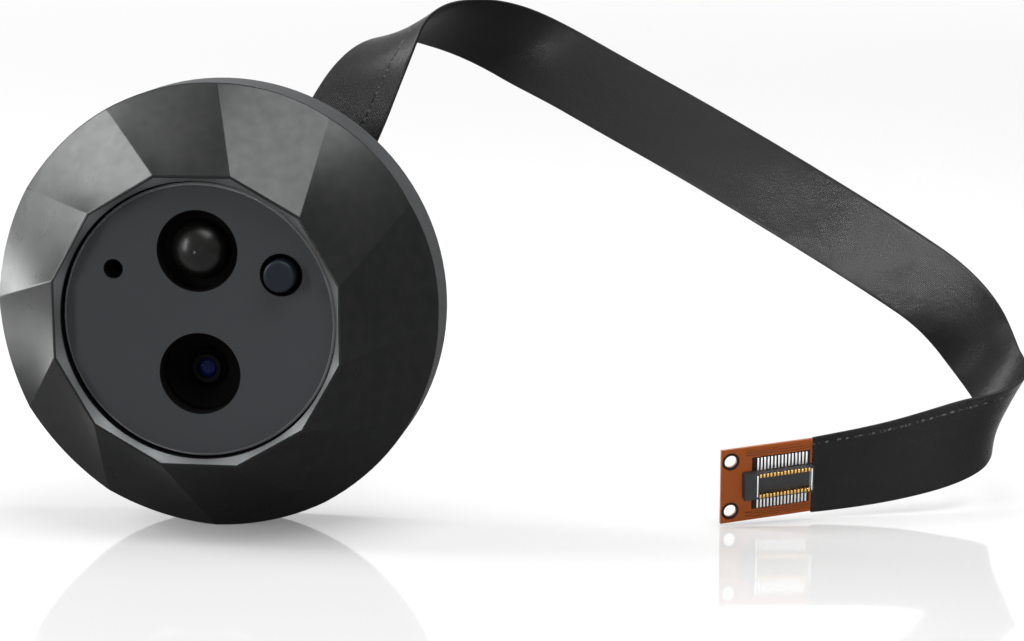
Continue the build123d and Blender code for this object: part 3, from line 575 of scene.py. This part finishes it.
# finishes of the pieces that keep the CAD's own form, each with its name, colour, roughness, grain
# in mm, strength of the grain and, on metal, how metallic; the plate, dome and plug use them too
finishes = {
    # anodised aluminium, fine blasted: an even slate grey without a highlight
    "face_plate": grainyFinish(
        "slateAnodisedAluminium", "#2f3133", 0.65, 0.12, 0.1, Specular_IOR_Level=0.1
    ),
    # polyethylene from a polished mould: black with a soft highlight
    "pir_lens": grainyFinish(
        "blackPolyethyleneDome", "#060605", 0.3, 0.3, 0.05, spread=0.03, Specular_IOR_Level=0.18
    ),
    # ABS from an etched mould, darkened further as painted shade in the lens's hole: it swallows nearly all
    # light
    "lens_hood": grainyFinish("mattBlackAbsDarkenedAsShade", "#020202", 0.8, 0.2, 0.2, Specular_IOR_Level=0.03),
    # aluminium, turned and black anodised, darkened further as painted shade in the lens's hole: a faint edge
    # of light
    "lens_barrel": grainyFinish("blackAnodisedBarrelDarkenedAsShade", "#020203", 0.6, 0.1, 0.1, Specular_IOR_Level=0.04),
    # glass with a coating that sends back deep blue
    "lens_glass": grainyFinish(
        "blueCoatedGlass", "#060a32", 0.15, 0.5, 0.0, spread=0.01, Specular_IOR_Level=0.06
    ),
    # ABS with a spark-eroded face: slate blue with a low sheen
    "button_cap": grainyFinish("slateBlueMouldedAbs", "#12161d", 0.35, 0.2, 0.1, Specular_IOR_Level=0.12),
    # ABS with a coarser grain: dull black
    "rear_cover": grainyFinish("blackMouldedAbs", "#1a1a1b", 0.55, 0.25, 0.3),
    # glass-filled polycarbonate: flat and dark
    "carrier": grainyFinish(
        "blackMouldedPolycarbonate", "#0a0a0a", 0.7, 0.25, 0.2, Specular_IOR_Level=0.08
    ),
    # closed-cell foam with its cells cut open: soft, pitted and without gloss
    "door_pad": grainyFinish("closedCellFoam", "#202022", 0.9, 0.35, 0.8),
    # steel with a zinc plating: pale and cool
    "cover_screws": grainyFinish("zincPlatedSteel", "#b9bbbd", 0.35, 0.1, 0.1, 1.0),
    # brass as it leaves the lathe: warm and bright
    "thread_inserts": grainyFinish("turnedBrass", "#c9a45a", 0.3, 0.1, 0.1, 1.0),
    # moulded silicone: black with a dusty look
    "ribbon_grommet": grainyFinish("siliconeRubber", "#1b1b1c", 0.7, 0.2, 0.2),
    # phenolic paper laminate with its cut edge: flat brown
    "plug_stiffener": grainyFinish("phenolicStiffener", "#70401c", 0.55, 0.2, 0.1),
    # moulded liquid crystal polymer: near black with a little gloss
    "plug_housing": grainyFinish(
        "blackLiquidCrystalPolymer", "#17181a", 0.45, 0.1, 0.1, Specular_IOR_Level=0.3
    ),
    # bronze with a thin gold plating: warm and glossy
    "plug_contacts": grainyFinish("goldPlatedBronze", "#e0b060", 0.25, 0.1, 0.05, 1.0),
    # glass laminate under solder mask: satin green
    "main_board": grainyFinish("greenSolderMask", "#0f3d22", 0.4, 0.2, 0.1),
    # moulded epoxy: charcoal, fine and dull
    "processor_chip": grainyFinish("epoxyMoulding", "#161617", 0.6, 0.1, 0.2),
    # moulded nylon: ivory and black with a waxy sheen, and the plunger a deep red
    "ribbon_socket": grainyFinish("ivoryNylon", "#cfc8b4", 0.5, 0.2, 0.1),
    "switch_body": grainyFinish("blackNylon", "#141414", 0.5, 0.2, 0.1),
    "switch_plunger": grainyFinish("redNylon", "#8a2018", 0.5, 0.2, 0.1),
    # acrylic foam tape: a black line in the gap round the plate
    "face_tape": grainyFinish("blackAcrylicFoamTape", "#070707", 0.9, 0.3, 0.3, Specular_IOR_Level=0.02),
    # black felt over the capsule's mouth, darkened further as painted shade: the hole in the plate looks
    # empty
    "microphone": grainyFinish("blackFeltedCapsuleDarkenedAsShade", "#020202", 0.95, 0.15, 0.3, Specular_IOR_Level=0.02),
    # drawn steel can, nickel plated: warm grey and smooth
    "pir_sensor": grainyFinish("nickelPlatedCan", "#b4b2ac", 0.3, 0.15, 0.1, 1.0),
    # polished filters and the sensor's cover glass: dark, smooth and glossy
    "pir_window": grainyFinish("darkFilterWindow", "#101014", 0.2, 0.2, 0.05),
    "image_sensor": grainyFinish("sensorGlass", "#1a1f24", 0.1, 0.2, 0.0, spread=0.02),
    "ir_filter": grainyFinish("redFilterGlass", "#401a1e", 0.05, 0.2, 0.0, spread=0.01),
    # soft moulded rubber: black without gloss, darkened further as painted shade for the boot in the
    # microphone's hole
    "button_seal": grainyFinish("softSealRubberDarkenedAsShade", "#050505", 0.9, 0.2, 0.2, Specular_IOR_Level=0.02),
}
sameFinish = {
    "switch_cover": "cover_screws", "switch_dome": "cover_screws", "board_screws": "cover_screws",
    "carrier_screws": "cover_screws", "cover_seal": "button_seal", "microphone_boot": "button_seal",
    "lens_holder": "lens_hood",
}
for nodeName, finish in finishes.items():
    dressNode(nodeName, finish)
for nodeName, likeNode in sameFinish.items():
    dressNode(nodeName, finishes[likeNode])
dressNode("ribbon_tail", plainClothTape())
# the holes' walls and the dome's flange, painted near black as shade, so that only the front of the plate is
# seen
paintedShadeWalls = grainyFinish("paintedShadeHoleWall", "#030303", 0.8, 0.2, 0.1, Specular_IOR_Level=0.05)
# aluminium cut with a diamond after it was anodised, its base made pale and partly diffuse as a painted
# highlight: a thin bright line round the plate
cutEdgePaintedHighlight = grainyFinish("diamondCutAluminiumPaintedHighlight", "#b0b2b4", 0.35, 0.1, 0.05, 0.6)
# brass dipped in tin for soldering: white metal with a soft gloss
tinnedBrass = grainyFinish("tinnedBrass", "#d9dadb", 0.32, 0.15, 0.2, 0.85)
print("finishes set")


# the plug's sizes in mm, on its own axes: x along the tongue, y across it, z out of its contact side
plugSetup = {
    "filmHalf": 0.07,
    "filmColour": "#66310f",
    "trackColour": "#3d1c0c",
    "maskColour": "#120b08",
    "maskAcross": 2.85, "maskHalfAcross": 1.0,   # middle and half width of the black mask beside a row
    "maskAlong": 4.5, "maskHalfAlong": 4.2,
    "hole": (11.75, 3.65, 0.0), "holeRim": 1.25,
    "trackAcross": 4.45, "trackHalfAcross": 0.5, "tracksEnd": 9.6,
    "trackPitch": 0.34, "trackWander": 0.5, "wandersPerMm": 0.6, "trackHeight": 0.03,
    "trackAbove": 0.35,                          # a track is where its wave stands above this
    "contacts": 15, "firstContact": 0.85, "pitch": 0.5, "contactRound": 0.03,
    "tinnedFrom": 1.92,
    "tipAcross": 1.5, "tipHeight": 1.16, "tipSize": (0.29, 0.52, 0.22), "tipRound": 0.045,
    "clipPlaces": (0.42, 8.28), "clipSize": (0.18, 3.2, 1.16), "clipLift": 0.06, "clipRound": 0.03,
}


def alongPlug():
    before, end = (Vector(point) for point, across in ribbonRoute[-2:])
    along = (end - before).normalized()
    across = Vector(ribbonRoute[-1][1])
    across = (across - along * across.dot(along)).normalized()
    outward = across.cross(along)
    place = Matrix((along, -across, outward)).transposed().to_4x4()
    place.translation = (end + outward * plugSetup["filmHalf"]) * mm
    return place


plugPlace = alongPlug()


def amberFilm():
    # polyimide film over copper: amber, a little glossy, its tracks showing through as dark lines
    s = plugSetup
    material, shader = newMaterial("amberPolyimideFilm", Roughness=0.34, Specular_IOR_Level=0.12)
    place = addNode(material, "ShaderNodeTexCoord")
    turned = addNode(
        material, "ShaderNodeMapping",
        {
            "vector_type": "TEXTURE", "Location": plugPlace.translation,
            "Rotation": plugPlace.to_euler(), "Scale": (mm, mm, mm),
        },
        {"Vector": place.outputs["Object"]},
    )
    axes = addNode(material, "ShaderNodeSeparateXYZ", links={"Vector": turned.outputs["Vector"]})
    side = addNode(material, "ShaderNodeMath", {"operation": "ABSOLUTE"}, {0: axes.outputs["Y"]})
    # the black mask beside the rows of contacts
    besideRow = addNode(
        material, "ShaderNodeMath", {"operation": "COMPARE", 1: s["maskAcross"], 2: s["maskHalfAcross"]},
        {0: side.outputs["Value"]},
    )
    alongRow = addNode(
        material, "ShaderNodeMath", {"operation": "COMPARE", 1: s["maskAlong"], 2: s["maskHalfAlong"]},
        {0: axes.outputs["X"]},
    )
    mask = addNode(
        material, "ShaderNodeMath", {"operation": "MULTIPLY"},
        {0: besideRow.outputs["Value"], 1: alongRow.outputs["Value"]},
    )
    # the dark rim round each locating hole
    fromHole = addNode(
        material, "ShaderNodeCombineXYZ", links={"X": axes.outputs["X"], "Y": side.outputs["Value"]}
    )
    reach = addNode(
        material, "ShaderNodeVectorMath", {"operation": "DISTANCE", 1: s["hole"]},
        {0: fromHole.outputs["Vector"]},
    )
    rim = addNode(
        material, "ShaderNodeMath", {"operation": "LESS_THAN", 1: s["holeRim"]}, {0: reach.outputs["Value"]}
    )
    dark = addNode(
        material, "ShaderNodeMath", {"operation": "MAXIMUM"},
        {0: mask.outputs["Value"], 1: rim.outputs["Value"]},
    )
    # the tracks, a bent wave across the tongue, in a band near each long edge
    wander = addNode(
        material, "ShaderNodeTexNoise", {"Scale": s["wandersPerMm"], "Detail": 1.0},
        {"Vector": turned.outputs["Vector"]},
    )
    bent = addNode(
        material, "ShaderNodeMath", {"operation": "MULTIPLY_ADD", 1: s["trackWander"]},
        {0: wander.outputs["Fac"], 2: side.outputs["Value"]},
    )
    phase = addNode(
        material, "ShaderNodeMath", {"operation": "MULTIPLY", 1: 2 * pi / s["trackPitch"]},
        {0: bent.outputs["Value"]},
    )
    swing = addNode(material, "ShaderNodeMath", {"operation": "SINE"}, {0: phase.outputs["Value"]})
    track = addNode(
        material, "ShaderNodeMath", {"operation": "GREATER_THAN", 1: s["trackAbove"]},
        {0: swing.outputs["Value"]},
    )
    nearEdge = addNode(
        material, "ShaderNodeMath",
        {"operation": "COMPARE", 1: s["trackAcross"], 2: s["trackHalfAcross"]},
        {0: side.outputs["Value"]},
    )
    beforeEnd = addNode(
        material, "ShaderNodeMath", {"operation": "LESS_THAN", 1: s["tracksEnd"]}, {0: axes.outputs["X"]}
    )
    band = addNode(
        material, "ShaderNodeMath", {"operation": "MULTIPLY"},
        {0: nearEdge.outputs["Value"], 1: beforeEnd.outputs["Value"]},
    )
    tracks = addNode(
        material, "ShaderNodeMath", {"operation": "MULTIPLY"},
        {0: track.outputs["Value"], 1: band.outputs["Value"]},
    )
    filmTone = addNode(
        material, "ShaderNodeMix",
        {"data_type": "RGBA", 6: toLinear(s["filmColour"]), 7: toLinear(s["trackColour"])},
        {"Factor": tracks.outputs["Value"]},
    )
    colour = addNode(
        material, "ShaderNodeMix", {"data_type": "RGBA", 7: toLinear(s["maskColour"])},
        {"Factor": dark.outputs["Value"], 6: filmTone.outputs[2]},
    )
    relief = addNode(
        material, "ShaderNodeBump", {"Strength": 0.6, "Distance": s["trackHeight"] * mm},
        {"Height": tracks.outputs["Value"]},
    )
    connect(material, colour.outputs[2], shader.inputs["Base Color"])
    connect(material, relief.outputs["Normal"], shader.inputs["Normal"])
    return material


def splitAcross(bm, places):
    # cuts across the rows of contacts, where the tinned feet begin
    sideways = plugPlace.to_3x3().col[1]
    for place in places:
        spot = plugPlace @ Vector((0, place * mm, 0))
        geometry = bm.verts[:] + bm.edges[:] + bm.faces[:]
        bmesh.ops.bisect_plane(bm, geom=geometry, dist=1e-8, plane_co=spot, plane_no=sideways)


def dressedCopy(nodeName, pieceName, finishList, chooseFinish, edgeRound, cuts=()):
    # the CAD solid's own form, with its edges broken and with a finish for each kind of face
    bm = bmesh.new()
    bm.from_mesh(nodes[nodeName].data)
    bmesh.ops.remove_doubles(bm, verts=bm.verts, dist=1e-7)
    bmesh.ops.dissolve_limit(bm, angle_limit=radians(0.5), verts=bm.verts, edges=bm.edges)
    splitAcross(bm, cuts)
    for face in bm.faces:
        face.smooth = True
        face.material_index = chooseFinish(face)
    piece = newPiece(pieceName, meshFrom(bm, pieceName), *finishList, replaced=(nodeName,))
    rounding = piece.modifiers.new("brokenEdges", "BEVEL")
    rounding.width = edgeRound * mm
    rounding.segments = 2
    rounding.limit_method = "ANGLE"
    rounding.angle_limit = radians(30)
    piece.modifiers.new("evenShading", "WEIGHTED_NORMAL")
    return piece


plateSetup = {"holesWithin": 17.0, "edgeRound": 0.03}


def plateFace(face):
    # front and back 0, the cut bevel round the rim with its painted highlight 1, the walls of the holes
    # painted black as shade 2
    spot = face.verts[0].co / mm
    if abs(face.normal.y) > 0.9:
        return 0
    return 1 if sqrt(spot.x ** 2 + spot.z ** 2) > plateSetup["holesWithin"] else 2


def makePlate():
    finishList = [finishes["face_plate"], cutEdgePaintedHighlight, paintedShadeWalls]
    plate = dressedCopy("face_plate", "facePlate", finishList, plateFace, plateSetup["edgeRound"])


domeSetup = {"middle": 9.1, "radius": 4.02, "edgeRound": 0.04}


def domeFace(face):
    # the moulded dome 0, its flange painted near black as shade 1
    reach = max(sqrt(v.co.x ** 2 + (v.co.z - domeSetup["middle"] * mm) ** 2) for v in face.verts)
    return 0 if reach < domeSetup["radius"] * mm and face.normal.y < 0 else 1


def makeDome():
    finishList = [finishes["pir_lens"], paintedShadeWalls]
    dome = dressedCopy("pir_lens", "motionDome", finishList, domeFace, domeSetup["edgeRound"])


def contactFace(face):
    # gold inside the plug 0, tinned feet 1
    spot = plugPlace.inverted() @ face.calc_center_median()
    return 1 if abs(spot.y) > plugSetup["tinnedFrom"] * mm else 0


def makeContacts():
    s = plugSetup
    contacts = dressedCopy(
        "plug_contacts", "plugContacts", [finishes["plug_contacts"], tinnedBrass], contactFace,
        s["contactRound"], cuts=(-s["tinnedFrom"], s["tinnedFrom"]),
    )


def smallBlocks(name, material, spots, size, edgeRound):
    # blocks of one size on the plug's axes, with rounded edges
    bm = bmesh.new()
    scaled = Matrix.Diagonal((*(Vector(size) * mm), 1))
    for spot in spots:
        bmesh.ops.create_cube(bm, size=1.0, matrix=plugPlace @ Matrix.Translation(Vector(spot) * mm) @ scaled)
    bmesh.ops.bevel(
        bm, geom=bm.edges[:], offset=edgeRound * mm, segments=2, profile=0.5, affect="EDGES", material=-1
    )
    return newPiece(name, closedMesh(bm, name), material)


def makeTips():
    # the gold tips that curl over the tops of the plug's long walls
    s = plugSetup
    places = [s["firstContact"] + count * s["pitch"] for count in range(s["contacts"])]
    spots = [(along, side * s["tipAcross"], s["tipHeight"]) for side in (-1, 1) for along in places]
    tips = smallBlocks("plugTips", finishes["plug_contacts"], spots, s["tipSize"], s["tipRound"])


def makeClips():
    # the two bright hold-down clips at the ends of the plug's well
    s = plugSetup
    spots = [(along, 0, s["clipSize"][2] / 2 + s["clipLift"]) for along in s["clipPlaces"]]
    clips = smallBlocks("plugClips", tinnedBrass, spots, s["clipSize"], s["clipRound"])


makePlate()
makeDome()
print("plate and dome made")
dressNode("plug_tongue", amberFilm())
makeContacts()
makeTips()
makeClips()
print("plug made")


# floor and light; sizes in mm
stageSetup = {
    "floorHeight": -30.0,
    "floorHalf": 4000.0,
    "floorColour": "#929292",
    "floorMirror": 0.6,      # how much of what stands on it the camera sees in it
    "floorGlow": 0.19,       # what brings it to the background's white, for the camera and in reflections
    "worldLevel": 0.45,
}
# soft boxes, in mm and watts
lamps = {
    # a tall key high on the left, which gives the upper left facets their light
    "key": {"place": (-1000.0, 35.0, 540.0), "size": (360.0, 940.0), "power": 28.0, "aim": (25.0, 0.0, 0.0)},
    # two overhead, for the upper right facets and the plate, and for the crown facet
    "top": {"place": (190.0, -75.0, 540.0), "size": (430.0, 430.0), "power": 6.5, "aim": (25.0, 0.0, 0.0)},
    "crown": {"place": (-330.0, 0.0, 580.0), "size": (150.0, 250.0), "power": 0.6, "aim": (0.0, 0.0, 20.0)},
    # a narrow strip at the front left, whose image lies on the dome
    "side": {"place": (-540.0, -400.0, 120.0), "size": (90.0, 520.0), "power": 4.2, "aim": (0.0, -15.0, 9.0)},
    # a low one behind the left facets
    "low": {"place": (-420.0, 175.0, -8.0), "size": (250.0, 40.0), "power": 1.3, "aim": (-20.0, -10.0, 0.0)},
    # a gridded one that only the ribbon's right half faces
    "ribbon": {
        "place": (145.0, -567.0, 23.0), "size": (120.0, 100.0), "power": 0.06, "aim": (104.0, 27.0, -5.0),
        "spread": 12.0,
    },
    # a gridded spot on the floor beside the disc, which the lower left facet mirrors
    "pool": {
        "place": (-118.0, 35.0, 330.0), "size": (20.0, 20.0), "power": 0.33, "aim": (-118.0, 35.0, -30.0),
        "spread": 16.0,
    },
}


def shownToEye(material, fromLevel, toLevel):
    # what the camera, a mirror-like finish and clear glass see, apart from what lights the object
    rays = addNode(material, "ShaderNodeLightPath")
    seen = addNode(
        material, "ShaderNodeMath", {"operation": "MAXIMUM"},
        {0: rays.outputs["Is Camera Ray"], 1: rays.outputs["Is Transmission Ray"]},
    )
    mirrored = addNode(
        material, "ShaderNodeMath", {"operation": "MAXIMUM"},
        {0: seen.outputs["Value"], 1: rays.outputs["Is Glossy Ray"]},
    )
    return addNode(
        material, "ShaderNodeMapRange", {"To Min": fromLevel, "To Max": toLevel},
        {"Value": mirrored.outputs["Value"]},
    )


def whiteFloor():
    # white acrylic sheet: a faint mirror of what stands on it, and white to the camera elsewhere
    material, shader = newMaterial(
        "whiteAcrylicSheet", Base_Color=toLinear(stageSetup["floorColour"]), Roughness=0.06,
        Emission_Color=(1, 1, 1, 1),
    )
    rays = addNode(material, "ShaderNodeLightPath")
    mirror = addNode(
        material, "ShaderNodeMath", {"operation": "MULTIPLY", 1: stageSetup["floorMirror"]},
        {0: rays.outputs["Is Camera Ray"]},
    )
    glow = shownToEye(material, 0.0, stageSetup["floorGlow"])
    connect(material, mirror.outputs["Value"], shader.inputs["Specular IOR Level"])
    connect(material, glow.outputs["Result"], shader.inputs["Emission Strength"])
    return material


def makeFloor():
    bm = bmesh.new()
    bmesh.ops.create_grid(bm, x_segments=1, y_segments=1, size=stageSetup["floorHalf"] * mm)
    bmesh.ops.translate(bm, verts=bm.verts, vec=(0, 0, stageSetup["floorHeight"] * mm))
    floor = bpy.data.objects.new("floor", meshFrom(bm, "floor"))
    bpy.context.scene.collection.objects.link(floor)
    floor.data.materials.append(whiteFloor())


def makeLamp(name, setup):
    lamp = bpy.data.lights.new(name + "Lamp", "AREA")
    lamp.shape = "RECTANGLE"
    lamp.size, lamp.size_y = (side * mm for side in setup["size"])
    lamp.energy = setup["power"]
    lamp.spread = radians(setup.get("spread", 180.0))
    holder = bpy.data.objects.new(name + "Lamp", lamp)
    bpy.context.scene.collection.objects.link(holder)
    holder.location = Vector(setup["place"]) * mm
    aim = Vector(setup["aim"]) - Vector(setup["place"])
    holder.rotation_euler = aim.to_track_quat("-Z", "Y").to_euler()
    holder.visible_camera = False


def makeWorld():
    world = bpy.data.worlds.new("studio")
    world.use_nodes = True
    bpy.context.scene.world = world
    sky = world.node_tree.nodes["Background"]
    level = shownToEye(world, stageSetup["worldLevel"], 1.0)
    sky.inputs["Color"].default_value = (1, 1, 1, 1)
    connect(world, level.outputs["Result"], sky.inputs["Strength"])


makeFloor()
makeWorld()
for lampName, lampSetup in lamps.items():
    makeLamp(lampName, lampSetup)
bpy.context.scene.view_settings.view_transform = "Standard"
print("stage lit")
